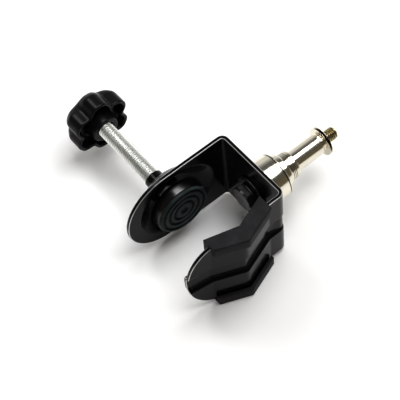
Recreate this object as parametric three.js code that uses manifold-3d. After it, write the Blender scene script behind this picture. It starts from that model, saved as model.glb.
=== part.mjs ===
// C-clamp for lighting grip gear: a bent steel strap with a rubber-lined V jaw, a clamp screw with a
// star knob and a swivelling pad, and a 5/8 inch spigot with a small threaded stud.
// Millimetres. The clamp lies on its side: X runs along the screw from the knob to the jaw,
// Y runs along the spigot away from the throat, Z runs across the strap.

import * as THREE from "three";
import { mergeVertices } from "three/addons/utils/BufferGeometryUtils.js";
import Module from "manifold-3d";

const wasm = await Module();
wasm.setup();

// Overall layout
const AXIS_Z = 37.2; // height of the screw and spigot axes, the strap's mid-plane
const WEB_LENGTH = 64; // outside of the web, along X
const STRAP_WIDTH = 67.5;
const SHEET = 3;
const BEND_RADIUS = 4; // of the sheet's mid-surface at the two web corners
const SCREW_Y = -46.7;
const PLATE_END_Y = -86.5;
const GAP = 0.35; // between pieces that touch on the real clamp

// Pressed shapes in the strap
const DISH = { y: -45, halfLength: 31.5, halfHeight: 29, neck: 9.5, depth: 14 };
const CHANNEL = { halfWidth: 9, floorHalfWidth: 6.8, depth: 2.5, fadeLength: 16 };

// Jaw: where the arm's mid-surface turns, in plan
const JAW_BACK = [30.5, -15];
const JAW_VERTEX = [39.9, -41.6];
const JAW_FRONT = [30.6, -63.6];
const LEAF_TIP_X = 27.6;
const LEAF = { centreY: -55.3, reach: 27, half: 35 };

// Rubber jaw liner, offsets from the arm's mid-surface
const LINER = { flange: 3, lipHeight: 9, wall: 4.9, lip: 2.6, lipGap: 0.8, chamfer: 0.8 };
const GRIP_SHIFT = [[0, 0], [-0.6, 2], [1.6, 0]]; // of the gripping face at the V's back, vertex and front

// Clamp screw and its bush
const SCREW = { radius: 5.9, start: -123, neckRadius: 3.4, neckStart: -35.2, ballX: -28, ballRadius: 5 };
const BUSH = { bore: 6.2, collar: 6.9, end: -54, seat: -42.2, flange: 11, flangeEnd: -38.6 };

// Knob
const KNOB = { face: -111.6, back: -131.4, lobes: 6, mean: 22.8, swing: 2.4, turn: 0.47, bevel: 2.6 };
const HUB = { face: -107.6, radius: 10, socket: 8, socketEnd: -111, recess: 18.4, recessDepth: 6 };

// Swivel pad
const PAD = { face: -19.2, rubber: 20.2, cup: 21, rear: -32.6, lip: 20.6 };
const PAD_RINGS = { radii: [17.2, 12.4, 7.8], halfWidth: 1.1, floorHalfWidth: 0.5, depth: 1.1 };
const SOCKET = { clearance: 0.5, seat: 1.6 }; // round the ball, and the retainer's seat past its middle
const RETAINER = { plate: 1.4, dome: 5.6, height: 5 };
const THRUST_WASHER = { radius: 5.6, thickness: 1.2, behindPad: 2 };

// Spigot, stations along Y from the web's outside face
const BOSS = { radius: 16.4, end: 19.2, bore: 11.2 };
const SPIGOT = { shoulder: 12.4, shoulderEnd: 24, collar: 10.4, collarEnd: 32, body: 7.94, bodyEnd: 55.4 };
const SPIGOT_TIP = { groove: 6.4, flangeStart: 58.2, flange: 11, flangeEnd: 60.4 };
const STUD = { radius: 4.7, end: 71.4, root: 50 };
const BOLT = { radius: 4.9, head: 10.4, headHeight: 4.8, end: 30 };
const WASHER = { bore: 5.4, radius: 13, thickness: 1.6 };
const SPRING_WASHER = { radius: 9, thickness: 2.2, lift: 0.9, halfOpening: 0.16 };

const BLACK_PAINT = { color: 0x0e0e10, roughness: 0.25, metalness: 0.1 };
const RUBBER = { color: 0x1b1b1d, roughness: 0.7, metalness: 0 };
const PAD_RUBBER = { color: 0x161a1a, roughness: 0.6, metalness: 0 };
const KNOB_PLASTIC = { color: 0x141415, roughness: 0.45, metalness: 0 };
const ZINC = { color: 0xc9cacb, roughness: 0.3, metalness: 1 };
const NICKEL = { color: 0xcfc8b8, roughness: 0.2, metalness: 1 };
const BRASS = { color: 0xb09358, roughness: 0.35, metalness: 1 };
const BLACK_OXIDE = { color: 0x1c1c1e, roughness: 0.35, metalness: 0.6 };

const clamp = new THREE.Group();

function addPart(name, geometry, finish) {
  const mesh = new THREE.Mesh(geometry, new THREE.MeshStandardMaterial(finish));
  mesh.name = name;
  return mesh;
}

// Closed triangle geometry to a solid that can be joined and cut
function toSolid(geometry) {
  const bare = geometry.clone();
  bare.deleteAttribute("normal");
  bare.deleteAttribute("uv");
  const merged = mergeVertices(bare, 1e-4);
  const corners = [];
  const index = merged.index.array;
  for (let i = 0; i < index.length; i += 3) {
    const [a, b, c] = [index[i], index[i + 1], index[i + 2]];
    if (a !== b && b !== c && c !== a) corners.push(a, b, c);
  }
  const vertProperties = new Float32Array(merged.attributes.position.array);
  const triVerts = new Uint32Array(corners);
  return new wasm.Manifold(new wasm.Mesh({ numProp: 3, vertProperties, triVerts }));
}

function toGeometry(solid) {
  const mesh = solid.getMesh();
  const geometry = new THREE.BufferGeometry();
  geometry.setAttribute("position", new THREE.BufferAttribute(new Float32Array(mesh.vertProperties), 3));
  geometry.setIndex(new THREE.BufferAttribute(new Uint32Array(mesh.triVerts), 1));
  geometry.computeVertexNormals();
  return geometry;
}

// Turned part about Y; profile is [radius, station] from axis to axis or closed on itself
function turned(profile, segments = 32) {
  return new THREE.LatheGeometry(profile.map(([r, s]) => new THREE.Vector2(r, s)), segments);
}

// Turned part about X, at the screw's height and place
function turnedOnScrew(profile, segments = 24) {
  return turned(profile, segments).rotateZ(-Math.PI / 2).translate(0, SCREW_Y, AXIS_Z);
}

function turnedOnSpigot(profile, segments = 32) {
  return turned(profile, segments).translate(0, 0, AXIS_Z);
}

// Plan path with rounded corners: stations with a place, the outward normal and the length so far
function roundedPath(corners, step, arcSteps = 4) {
  const points = [];
  for (let i = 0; i < corners.length; i++) {
    const at = new THREE.Vector2(...corners[i].at);
    if (i === 0 || i === corners.length - 1) {
      points.push(at);
      continue;
    }
    const before = new THREE.Vector2(...corners[i - 1].at).sub(at).normalize();
    const after = new THREE.Vector2(...corners[i + 1].at).sub(at).normalize();
    const half = Math.acos(THREE.MathUtils.clamp(before.dot(after), -1, 1)) / 2;
    const centre = before.clone().add(after).normalize();
    centre.multiplyScalar(corners[i].radius / Math.sin(half)).add(at);
    const from = before.clone().multiplyScalar(corners[i].radius / Math.tan(half)).add(at).sub(centre);
    const to = after.clone().multiplyScalar(corners[i].radius / Math.tan(half)).add(at).sub(centre);
    const sweep = Math.atan2(from.cross(to), from.dot(to));
    for (let k = 0; k <= arcSteps; k++) {
      points.push(from.clone().rotateAround(new THREE.Vector2(), (sweep * k) / arcSteps).add(centre));
    }
  }
  const fine = [points[0]];
  for (let i = 1; i < points.length; i++) {
    const count = Math.ceil(points[i].distanceTo(points[i - 1]) / step);
    for (let k = 1; k <= count; k++) fine.push(points[i - 1].clone().lerp(points[i], k / count));
  }
  let length = 0;
  return fine.map((point, i) => {
    const previous = fine[Math.max(i - 1, 0)];
    const next = fine[Math.min(i + 1, fine.length - 1)];
    const along = next.clone().sub(point).normalize().add(point.clone().sub(previous).normalize());
    along.normalize();
    length += point.distanceTo(previous);
    return { point, normal: new THREE.Vector2(-along.y, along.x), length };
  });
}

// Sheet of even thickness standing on a plan path; press(station, z) moves it along its normal
function pressedSheet(stations, heights, press) {
  const rows = heights.length;
  const positions = [];
  for (const side of [SHEET / 2, -SHEET / 2]) {
    for (const station of stations) {
      for (const z of heights) {
        const offset = side + press(station, z);
        const place = station.point.clone().addScaledVector(station.normal, offset);
        positions.push(place.x, place.y, z);
      }
    }
  }
  const inner = stations.length * rows;
  const index = [];
  const quad = (a, b, c, d) => index.push(a, b, c, a, c, d);
  for (let i = 0; i < stations.length - 1; i++) {
    for (let j = 0; j < rows - 1; j++) {
      const a = i * rows + j;
      quad(a, a + 1, a + rows + 1, a + rows);
      quad(inner + a, inner + a + rows, inner + a + rows + 1, inner + a + 1);
    }
    const low = i * rows;
    const high = low + rows - 1;
    quad(low, low + rows, inner + low + rows, inner + low);
    quad(high, inner + high, inner + high + rows, high + rows);
  }
  const last = (stations.length - 1) * rows;
  for (let j = 0; j < rows - 1; j++) {
    quad(j, inner + j, inner + j + 1, j + 1);
    quad(last + j, last + j + 1, inner + last + j + 1, inner + last + j);
  }
  const geometry = new THREE.BufferGeometry();
  geometry.setAttribute("position", new THREE.Float32BufferAttribute(positions, 3));
  geometry.setIndex(index);
  return geometry;
}

// Outline in the YZ plane carried along X from one side to the other
function plateOutline(drawOutline, fromX, toX) {
  const geometry = new THREE.ExtrudeGeometry(drawOutline(), {
    depth: toX - fromX,
    bevelEnabled: false,
    curveSegments: 14,
  });
  const turn = new THREE.Matrix4().set(0, 0, 1, fromX, 1, 0, 0, 0, 0, 1, 0, 0, 0, 0, 0, 1);
  return geometry.applyMatrix4(turn);
}

// Strap outline that ends in half an ellipse
function roundedEnd(centreY, reach, half) {
  const shape = new THREE.Shape();
  shape.moveTo(1, AXIS_Z - half);
  shape.lineTo(1, AXIS_Z + half);
  shape.lineTo(centreY, AXIS_Z + half);
  shape.absellipse(centreY, AXIS_Z, reach, half, Math.PI / 2, (3 * Math.PI) / 2);
  shape.closePath();
  return shape;
}

function dishPress(station, z) {
  const across = (station.point.y - DISH.y) / DISH.halfLength;
  const up = (z - AXIS_Z) / DISH.halfHeight;
  const floor = DISH.neck / DISH.halfHeight;
  const radius = Math.hypot(across, up);
  const t = THREE.MathUtils.clamp((1 - radius) / (1 - floor), 0, 1);
  return DISH.depth * Math.sin((t * Math.PI) / 2) ** 1.2;
}

function channelPress(station, z, start) {
  const side = Math.abs(z - AXIS_Z);
  const slope = CHANNEL.halfWidth - CHANNEL.floorHalfWidth;
  const across = THREE.MathUtils.clamp((CHANNEL.halfWidth - side) / slope, 0, 1);
  const along = THREE.MathUtils.smoothstep(station.length, start, start + CHANNEL.fadeLength);
  return -CHANNEL.depth * across * along;
}

function clampFrame() {
  const side = (WEB_LENGTH - SHEET) / 2;
  const stations = roundedPath(
    [
      { at: [-side, PLATE_END_Y - 1] },
      { at: [-side, -SHEET / 2], radius: BEND_RADIUS },
      { at: [side, -SHEET / 2], radius: BEND_RADIUS },
      { at: JAW_BACK, radius: 5 },
      { at: JAW_VERTEX, radius: 4 },
      { at: JAW_FRONT, radius: 5 },
      { at: [LEAF_TIP_X, LEAF.centreY - LEAF.reach] },
    ],
    6.4,
  );
  const half = STRAP_WIDTH / 2;
  const offsets = [half, 27, 20, 14, CHANNEL.halfWidth, CHANNEL.floorHalfWidth, 2.2];
  const heights = [...offsets.map((d) => AXIS_Z - d), ...offsets.reverse().map((d) => AXIS_Z + d)];
  const cornerStation = stations.find((s) => s.point.x >= side - BEND_RADIUS);
  const press = (station, z) => {
    if (station.point.x < -side + 1) return dishPress(station, z);
    return station.point.x > 0 ? channelPress(station, z, cornerStation.length - 8) : 0;
  };
  const strap = toSolid(pressedSheet(stations, heights, press));
  const plateEnd = () => roundedEnd(PLATE_END_Y + half, half, half);
  const leafEnd = () => roundedEnd(LEAF.centreY, LEAF.reach, LEAF.half);
  const outline = toSolid(plateOutline(plateEnd, -WEB_LENGTH, 1)).add(
    toSolid(plateOutline(leafEnd, -1, WEB_LENGTH)),
  );
  const neckRadius = BUSH.collar + GAP;
  const neckHole = toSolid(turnedOnScrew([[0, -60], [neckRadius, -60], [neckRadius, -20], [0, -20]]));
  const boltRadius = WASHER.bore;
  const boltHole = toSolid(turnedOnSpigot([[0, -8], [boltRadius, -8], [boltRadius, 4], [0, 4]], 24));
  return toGeometry(strap.intersect(outline).subtract(neckHole).subtract(boltHole));
}

// Closed section of the liner in (outward offset, height), swept along the jaw with mitred turns
function linerSection() {
  const inside = -SHEET / 2 - GAP - LINER.wall;
  const wall = -SHEET / 2 - GAP;
  const lipIn = SHEET / 2 + LINER.lipGap;
  const lipOut = lipIn + LINER.lip;
  const groove = wall - CHANNEL.depth - 0.2;
  const c = LINER.chamfer;
  const half = [
    [inside, 0],
    [inside, -AXIS_Z + c],
    [inside + c, -AXIS_Z],
    [lipOut - c, -AXIS_Z],
    [lipOut, -AXIS_Z + c],
    [lipOut, -AXIS_Z + LINER.lipHeight],
    [lipIn, -AXIS_Z + LINER.lipHeight],
    [lipIn, -AXIS_Z + LINER.flange],
    [wall, -AXIS_Z + LINER.flange],
    [wall, -CHANNEL.halfWidth - 1.2],
    [groove, -CHANNEL.floorHalfWidth - 1.2],
  ];
  const mirrored = half.slice(1).reverse().map(([n, z]) => [n, -z]);
  return [...half, ...mirrored].map(([n, z]) => new THREE.Vector2(n, AXIS_Z + z));
}

function jawLiner() {
  const corners = [JAW_BACK, JAW_VERTEX, JAW_FRONT].map((at) => new THREE.Vector2(...at));
  const slopes = [0, 1].map((i) => corners[i + 1].clone().sub(corners[i]).normalize());
  const across = slopes.map((slope) => new THREE.Vector2(-slope.y, slope.x));
  const mitre = across[0].clone().add(across[1]).normalize();
  const directions = [
    new THREE.Vector2(1 / across[0].x, 0),
    mitre.clone().divideScalar(mitre.dot(across[0])),
    new THREE.Vector2(1 / across[1].x, 0),
  ];
  const ends = [corners[0].clone().addScaledVector(slopes[0], 0.4), corners[1], corners[2]];
  const section = linerSection();
  const gripFace = -SHEET / 2 - GAP - LINER.wall + 2 * LINER.chamfer;
  const positions = [];
  ends.forEach((end, i) => {
    for (const { x: offset, y: z } of section) {
      const place = end.clone().addScaledVector(directions[i], offset);
      if (offset < gripFace) place.add(new THREE.Vector2(...GRIP_SHIFT[i]));
      positions.push(place.x, place.y, z);
    }
  });
  const count = section.length;
  const index = [];
  for (let i = 0; i < ends.length - 1; i++) {
    for (let j = 0; j < count; j++) {
      const a = i * count + j;
      const b = i * count + ((j + 1) % count);
      index.push(a, b, b + count, a, b + count, a + count);
    }
  }
  const faces = THREE.ShapeUtils.triangulateShape(section, []);
  const last = (ends.length - 1) * count;
  for (const [a, b, c] of faces) {
    index.push(a, c, b, last + a, last + b, last + c);
  }
  const geometry = new THREE.BufferGeometry();
  geometry.setAttribute("position", new THREE.Float32BufferAttribute(positions, 3));
  geometry.setIndex(index);
  return geometry;
}

function screwBush() {
  const { bore, collar, end, seat, flange, flangeEnd } = BUSH;
  return turnedOnScrew([[bore, end], [collar, end], [collar, seat], [flange, seat], [flange, flangeEnd],
    [bore, flangeEnd], [bore, end]]);
}

// Screw with a turned-down neck and a ball that sits in the pad
function clampScrew() {
  const { radius, start, neckRadius, neckStart, ballX, ballRadius } = SCREW;
  const profile = [[0, start], [radius - 1, start], [radius, start + 1], [radius, neckStart - 1.5]];
  profile.push([neckRadius, neckStart]);
  const neckAngle = Math.asin(neckRadius / ballRadius);
  const steps = 8;
  for (let k = 0; k <= steps; k++) {
    const angle = Math.PI - neckAngle - ((Math.PI - neckAngle) * k) / steps;
    const r = k === steps ? 0 : ballRadius * Math.sin(angle);
    profile.push([r, ballX + ballRadius * Math.cos(angle)]);
  }
  return turnedOnScrew(profile, 20);
}

function starOutline() {
  const shape = new THREE.Shape();
  const perLobe = 9;
  const count = KNOB.lobes * perLobe;
  for (let k = 0; k < count; k++) {
    const angle = (2 * Math.PI * k) / count;
    const wave = Math.cos(KNOB.lobes * angle);
    const r = KNOB.mean + KNOB.swing * (wave + 0.18 * (1 - wave * wave));
    const place = [r * Math.cos(angle + KNOB.turn), r * Math.sin(angle + KNOB.turn)];
    if (k === 0) shape.moveTo(...place);
    else shape.lineTo(...place);
  }
  shape.closePath();
  return shape;
}

// Star-shaped knob with a raised hub in a round recess, and a socket for the metal insert and the cap
function knobBody() {
  const { bevel } = KNOB;
  const star = new THREE.ExtrudeGeometry(starOutline(), {
    depth: KNOB.face - KNOB.back - 2 * bevel,
    bevelThickness: bevel,
    bevelSize: bevel,
    bevelOffset: -bevel,
    bevelSegments: 2,
  });
  star.rotateY(Math.PI / 2).translate(KNOB.back + bevel, SCREW_Y, AXIS_Z);
  const { radius, socket, socketEnd, recess, recessDepth } = HUB;
  const front = KNOB.face + 1;
  const floor = KNOB.face - recessDepth;
  const hollow = turnedOnScrew([[0, floor], [recess - 1.6, floor], [recess, front], [0, front]], 32);
  const hub = turnedOnScrew([[0, floor - 1], [radius + 0.8, floor - 1], [radius, HUB.face - 0.8],
    [radius - 0.8, HUB.face], [0, HUB.face]], 28);
  const bore = SCREW.radius + GAP;
  const hole = turnedOnScrew([[0, KNOB.back - 1], [socket, KNOB.back - 1], [socket, socketEnd],
    [bore, socketEnd], [bore, HUB.face + 1], [0, HUB.face + 1]], 24);
  return toGeometry(toSolid(star).subtract(toSolid(hollow)).add(toSolid(hub)).subtract(toSolid(hole)));
}

function knobInsert() {
  const r = HUB.socket - GAP;
  const bore = SCREW.radius + GAP;
  const back = SCREW.start + 0.4;
  const front = HUB.socketEnd - GAP;
  return turnedOnScrew([[bore, back], [r, back], [r, front], [bore, front], [bore, back]], 20);
}

function knobCap() {
  const r = HUB.socket - GAP;
  const inner = SCREW.start - GAP;
  return turnedOnScrew([[0, KNOB.back + 0.2], [r - 1, KNOB.back + 0.2], [r, KNOB.back + 1.2], [r, inner],
    [0, inner]], 20);
}

// Round cup behind the pad with a socket that holds the screw's ball
function padCup() {
  const { face, cup, rear, lip } = PAD;
  const socket = SCREW.ballRadius + SOCKET.clearance;
  const mouth = SCREW.neckRadius + 1;
  const ball = SCREW.ballX;
  const profile = [[mouth, rear], [9, rear], [11, rear + 1.2], [cup - 2, rear + 2.2], [cup, rear + 4.5]];
  profile.push([cup, face - 2.6], [lip, face - 2.2], [PAD.rubber + 0.1, face - 2.2]);
  const seat = ball + SOCKET.seat;
  profile.push([PAD.rubber + 0.1, seat], [socket, seat], [socket, ball]);
  const start = Math.asin(mouth / socket);
  for (let k = 1; k <= 4; k++) {
    const angle = Math.PI / 2 + ((Math.PI / 2 - start) * k) / 4;
    profile.push([socket * Math.sin(angle), ball + socket * Math.cos(angle)]);
  }
  profile.push([mouth, rear]);
  return turnedOnScrew(profile, 28);
}

function ballRetainer() {
  const r = PAD.rubber - GAP;
  const back = SCREW.ballX + SOCKET.seat + GAP;
  const plate = back + RETAINER.plate;
  const { dome, height } = RETAINER;
  const steps = 4;
  const profile = [];
  const start = Math.acos((back - SCREW.ballX) / dome);
  for (let k = 0; k <= steps; k++) {
    const angle = (start * k) / steps;
    profile.push([k === 0 ? 0 : dome * Math.sin(angle), SCREW.ballX + dome * Math.cos(angle)]);
  }
  profile.push([r, back], [r, plate], [9, plate], [7, back + height], [0, back + height]);
  return turnedOnScrew(profile, 24);
}

// Rubber disc with three ring grooves and a raised middle
function padRubber() {
  const back = SCREW.ballX + SOCKET.seat + RETAINER.plate + 2 * GAP;
  const boss = back + 3.6;
  const profile = [[0, boss], [7.6, boss], [9.6, back], [PAD.rubber - GAP, back]];
  profile.push([PAD.rubber - GAP, PAD.face - 0.8], [PAD.rubber - 1, PAD.face]);
  const { radii, halfWidth, floorHalfWidth, depth } = PAD_RINGS;
  const floor = PAD.face - depth;
  for (const ring of radii) {
    profile.push([ring + halfWidth, PAD.face], [ring + floorHalfWidth, floor]);
    profile.push([ring - floorHalfWidth, floor], [ring - halfWidth, PAD.face]);
  }
  profile.push([0, PAD.face]);
  return turnedOnScrew(profile, 28);
}

function thrustWasher() {
  const bore = SCREW.neckRadius + 0.3;
  const { radius, thickness, behindPad } = THRUST_WASHER;
  const from = PAD.rear - behindPad;
  const to = from + thickness;
  return turnedOnScrew([[bore, from], [radius, from], [radius, to], [bore, to], [bore, from]], 24);
}

// Sleeve between the web and the spigot
function spigotBoss() {
  const { radius, end, bore } = BOSS;
  return turnedOnSpigot([[bore, GAP], [radius - 0.6, GAP], [radius, GAP + 0.6], [radius, end - 1],
    [radius - 1, end], [bore, end], [bore, GAP]], 28);
}

function spigot() {
  const { shoulder, shoulderEnd, collar, collarEnd, body, bodyEnd } = SPIGOT;
  const { groove, flangeStart, flange, flangeEnd } = SPIGOT_TIP;
  const tail = BOSS.bore - GAP;
  const seat = BOSS.end + GAP;
  const thread = BOLT.radius + GAP;
  const stud = STUD.radius + GAP;
  const depth = BOLT.end + 0.6;
  return turnedOnSpigot([[0, depth], [thread, depth], [thread, 1], [tail, 1], [tail, seat],
    [shoulder, seat], [shoulder, shoulderEnd - 0.6], [shoulder - 0.8, shoulderEnd], [collar, shoulderEnd + 1],
    [collar, collarEnd - 0.8], [collar - 0.8, collarEnd], [body, collarEnd + 0.4], [body, bodyEnd - 0.5],
    [body - 0.5, bodyEnd], [groove, bodyEnd + 0.4], [groove, flangeStart - 0.3], [flange - 0.5, flangeStart],
    [flange, flangeStart + 0.5], [flange, flangeEnd - 0.5], [flange - 0.5, flangeEnd], [stud, flangeEnd],
    [stud, STUD.root - 0.4], [0, STUD.root - 0.4]], 26);
}

function threadedStud() {
  const { radius, end, root } = STUD;
  return turnedOnSpigot([[0, root], [radius, root], [radius, end - 0.7], [radius - 0.7, end], [0, end]], 20);
}

// Hexagon-headed bolt through the web into the spigot's tail
function spigotBolt(headFace) {
  const shank = turnedOnSpigot([[0, headFace - 1], [BOLT.radius, headFace - 1], [BOLT.radius, BOLT.end],
    [0, BOLT.end]], 24);
  const head = new THREE.CylinderGeometry(BOLT.head, BOLT.head, BOLT.headHeight, 6);
  head.rotateY(Math.PI / 6).translate(0, headFace - BOLT.headHeight / 2, AXIS_Z);
  return toGeometry(toSolid(head).add(toSolid(shank)));
}

function ringWasher({ radius, bore, thickness }, from) {
  const to = from + thickness;
  return turnedOnSpigot([[bore, from], [radius, from], [radius, to], [bore, to], [bore, from]], 28);
}

// Split ring with its two cut ends offset along its axis
function springWasher(from) {
  const { radius, thickness, lift, halfOpening } = SPRING_WASHER;
  const mid = (radius + WASHER.bore) / 2;
  const halfWidth = (radius - WASHER.bore) / 2;
  const steps = 26;
  const positions = [];
  for (let k = 0; k <= steps; k++) {
    const angle = halfOpening + ((2 * Math.PI - 2 * halfOpening) * k) / steps;
    const low = from + (lift * k) / steps;
    for (const [side, up] of [[-1, 0], [1, 0], [1, 1], [-1, 1]]) {
      const r = mid + side * halfWidth;
      const y = low + up * (thickness - lift);
      positions.push(r * Math.cos(angle), y, AXIS_Z + r * Math.sin(angle));
    }
  }
  const index = [];
  for (let k = 0; k < steps; k++) {
    for (let j = 0; j < 4; j++) {
      const a = 4 * k + j;
      const b = 4 * k + ((j + 1) % 4);
      index.push(a, b, b + 4, a, b + 4, a + 4);
    }
  }
  const last = 4 * steps;
  index.push(0, 2, 1, 0, 3, 2, last, last + 1, last + 2, last, last + 2, last + 3);
  const geometry = new THREE.BufferGeometry();
  geometry.setAttribute("position", new THREE.Float32BufferAttribute(positions, 3));
  geometry.setIndex(index);
  return geometry;
}

const flatWasherFrom = -SHEET - GAP - WASHER.thickness;
const springWasherFrom = flatWasherFrom - GAP - SPRING_WASHER.thickness;
const headFace = springWasherFrom - GAP;

clamp.add(
  addPart("clamp_frame", clampFrame(), BLACK_PAINT),
  addPart("jaw_liner", jawLiner(), RUBBER),
  addPart("screw_bush", screwBush(), BLACK_PAINT),
  addPart("clamp_screw", clampScrew(), ZINC),
  addPart("knob_body", knobBody(), KNOB_PLASTIC),
  addPart("knob_insert", knobInsert(), ZINC),
  addPart("knob_cap", knobCap(), KNOB_PLASTIC),
  addPart("thrust_washer", thrustWasher(), ZINC),
  addPart("pad_cup", padCup(), BLACK_PAINT),
  addPart("ball_retainer", ballRetainer(), ZINC),
  addPart("pad_rubber", padRubber(), PAD_RUBBER),
  addPart("spigot_boss", spigotBoss(), NICKEL),
  addPart("spigot", spigot(), NICKEL),
  addPart("threaded_stud", threadedStud(), BRASS),
  addPart("spigot_bolt", spigotBolt(headFace), BLACK_OXIDE),
  addPart("bolt_spring_washer", springWasher(springWasherFrom), BLACK_OXIDE),
  addPart("bolt_flat_washer", ringWasher(WASHER, flatWasherFrom), BLACK_OXIDE),
);

// Origin under the middle of the clamp's box, at the height that it rests on
const bounds = new THREE.Box3().setFromObject(clamp);
clamp.position.set(-(bounds.min.x + bounds.max.x) / 2, -(bounds.min.y + bounds.max.y) / 2, -bounds.min.z);

export default clamp;
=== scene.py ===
"""A lighting clamp: a bent steel strap with a rubber-lined V jaw, a clamp screw with a lobed knob and a
swivel pad, and a spigot with a threaded end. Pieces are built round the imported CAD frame, in metres.

Local places are in millimetres from the middle of the web's outside face: X along the clamp screw,
Y along the spigot, Z across the strap."""

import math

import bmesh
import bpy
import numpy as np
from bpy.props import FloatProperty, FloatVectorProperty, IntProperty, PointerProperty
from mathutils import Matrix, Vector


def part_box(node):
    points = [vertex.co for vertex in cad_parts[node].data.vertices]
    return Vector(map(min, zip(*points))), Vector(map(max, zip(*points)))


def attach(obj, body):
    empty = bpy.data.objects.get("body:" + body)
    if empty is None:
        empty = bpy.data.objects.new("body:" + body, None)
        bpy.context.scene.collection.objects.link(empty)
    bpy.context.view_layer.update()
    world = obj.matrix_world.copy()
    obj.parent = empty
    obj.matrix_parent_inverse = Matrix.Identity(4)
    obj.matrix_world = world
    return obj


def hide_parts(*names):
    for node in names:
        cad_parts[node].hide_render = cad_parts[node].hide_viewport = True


bl_info = {
    "name": "Lighting clamp",
    "version": (1, 0, 0),
    "blender": (4, 5, 0),
    "location": "View3D > Sidebar > Clamp",
    "description": "Builds the clamp's strap, jaw liner, screw, knob, pad and spigot round its CAD frame",
    "category": "Add Mesh",
}

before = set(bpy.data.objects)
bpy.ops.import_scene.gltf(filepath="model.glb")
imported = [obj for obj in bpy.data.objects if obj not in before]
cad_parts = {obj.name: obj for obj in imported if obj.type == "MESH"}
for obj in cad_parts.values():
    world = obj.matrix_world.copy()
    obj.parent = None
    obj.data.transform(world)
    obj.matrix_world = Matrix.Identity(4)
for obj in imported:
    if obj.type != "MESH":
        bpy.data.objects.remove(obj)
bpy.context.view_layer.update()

MM = 0.001


def box_mm(node):
    """Lowest and highest corner of a CAD node, in millimetres in the frame."""
    low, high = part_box(node)
    return np.array(low) / MM, np.array(high) / MM


def origin_mm():
    """Middle of the web's outside face: the spigot's axis meets the strap's highest Y."""
    strap_low, strap_high = box_mm("clamp_frame")
    spigot_low, spigot_high = box_mm("spigot")
    return np.array([(spigot_low[0] + spigot_high[0]) / 2, strap_high[1], (strap_low[2] + strap_high[2]) / 2])


ORIGIN = origin_mm()


def local_box(node):
    """A CAD node's box in local millimetres."""
    low, high = box_mm(node)
    return low - ORIGIN, high - ORIGIN


STRAP_LOW, STRAP_HIGH = local_box("clamp_frame")
SCREW_LOW, SCREW_HIGH = local_box("clamp_screw")
KNOB_LOW, KNOB_HIGH = local_box("knob_body")
CUP_LOW, CUP_HIGH = local_box("pad_cup")
RUBBER_LOW, RUBBER_HIGH = local_box("pad_rubber")
SPIGOT_HIGH = local_box("spigot")[1]
STUD_LOW, STUD_HIGH = local_box("threaded_stud")
SCREW_Y = (SCREW_LOW[1] + SCREW_HIGH[1]) / 2
HALF_STRAP = (STRAP_HIGH[2] - STRAP_LOW[2]) / 2
HALF_LINER = -local_box("jaw_liner")[0][2]


def length(name, default, description):
    """A size in metres, from its default in millimetres."""
    return FloatProperty(name=name, default=default * MM, unit="LENGTH", precision=5, description=description)


def colour(name, default, description):
    """A linear colour, from its red, green and blue."""
    return FloatVectorProperty(name=name, default=default, subtype="COLOR", size=3, min=0, max=1,
                               description=description)


def share(name, default, description):
    """A number from 0 to 1."""
    return FloatProperty(name=name, default=default, min=0, max=1, subtype="FACTOR", description=description)


class ClampSizes(bpy.types.PropertyGroup):
    """Sizes that shape the clamp's pieces within their CAD boxes."""

    sheet: length("Sheet", 3.0, "Thickness of the strap's steel")
    bend: length("Bend", 4.0, "Radius of the strap's bends, at the middle of the sheet")
    edge: length("Edge", 0.75, "Rounding of the strap's cut edges")
    dish_depth: length("Dish depth", 14.0, "How far the screw plate is pressed out")
    channel_depth: length("Channel depth", 2.5, "Depth of the groove pressed along the arm")
    screw_pitch: length("Screw pitch", 2.0, "Pitch of the clamp screw")
    stud_pitch: length("Stud pitch", 1.5875, "Pitch of the spigot's end thread")
    lobe_depth: length("Lobe depth", 4.6, "Depth of the hollows between the knob's lobes")
    lobes: IntProperty(name="Lobes", default=6, min=3, max=12, description="Lobes round the knob")
    knob_turn: FloatProperty(name="Knob turn", default=0.47, subtype="ANGLE",
                             description="Where the first lobe points, from Y towards Z")


class ClampColours(bpy.types.PropertyGroup):
    """Base colours and gloss of the clamp's finishes."""

    paint: colour("Paint", (0.003, 0.003, 0.0034), "Black paint of the strap and bush, and the cup's enamel")
    paint_gloss: share("Paint roughness", 0.16, "Roughness of the stoved paint")
    rubber: colour("Rubber", (0.017, 0.017, 0.019), "Moulded rubber of the jaw liner")
    pad: colour("Pad rubber", (0.028, 0.038, 0.038), "Rubber of the swivel pad")
    knob: colour("Knob", (0.005, 0.005, 0.0055), "Moulded plastic of the knob")
    zinc: colour("Zinc", (0.93, 0.94, 0.92), "Bright zinc plate")
    nickel: colour("Nickel", (0.80, 0.76, 0.66), "Polished nickel plate")
    brass: colour("Brass", (0.55, 0.48, 0.30), "Machined brass thread")
    oxide: colour("Black oxide", (0.020, 0.020, 0.022), "Black bolt and washers")
    floor: colour("Floor", (0.93, 0.93, 0.93), "The pale floor")


# ---------------------------------------------------------------- meshes


def grid_faces(rows, columns, wrap_rows=False, wrap_columns=False):
    """Quads between neighbours on a rows by columns grid of points, joined round where it wraps."""
    row = np.arange(rows if wrap_rows else rows - 1)
    column = np.arange(columns if wrap_columns else columns - 1)
    a, b = np.meshgrid(row, column, indexing="ij")
    a_next = (a + 1) % rows
    b_next = (b + 1) % columns
    corners = [a * columns + b, a_next * columns + b, a_next * columns + b_next, a * columns + b_next]
    return np.stack(corners, -1).reshape(-1, 4).tolist()


def swept_faces(sections, corners):
    """Faces of a closed section of so many corners carried through sections, with a cap at both ends."""
    first = list(range(corners))
    last = list(range((sections - 1) * corners, sections * corners))
    return [*grid_faces(sections, corners, False, True), first, last]


def smoothstep(value):
    """0 at and below 0, 1 at and above 1, and three squares less two cubes between."""
    clipped = np.clip(value, 0, 1)
    return clipped * clipped * (3 - 2 * clipped)


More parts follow.
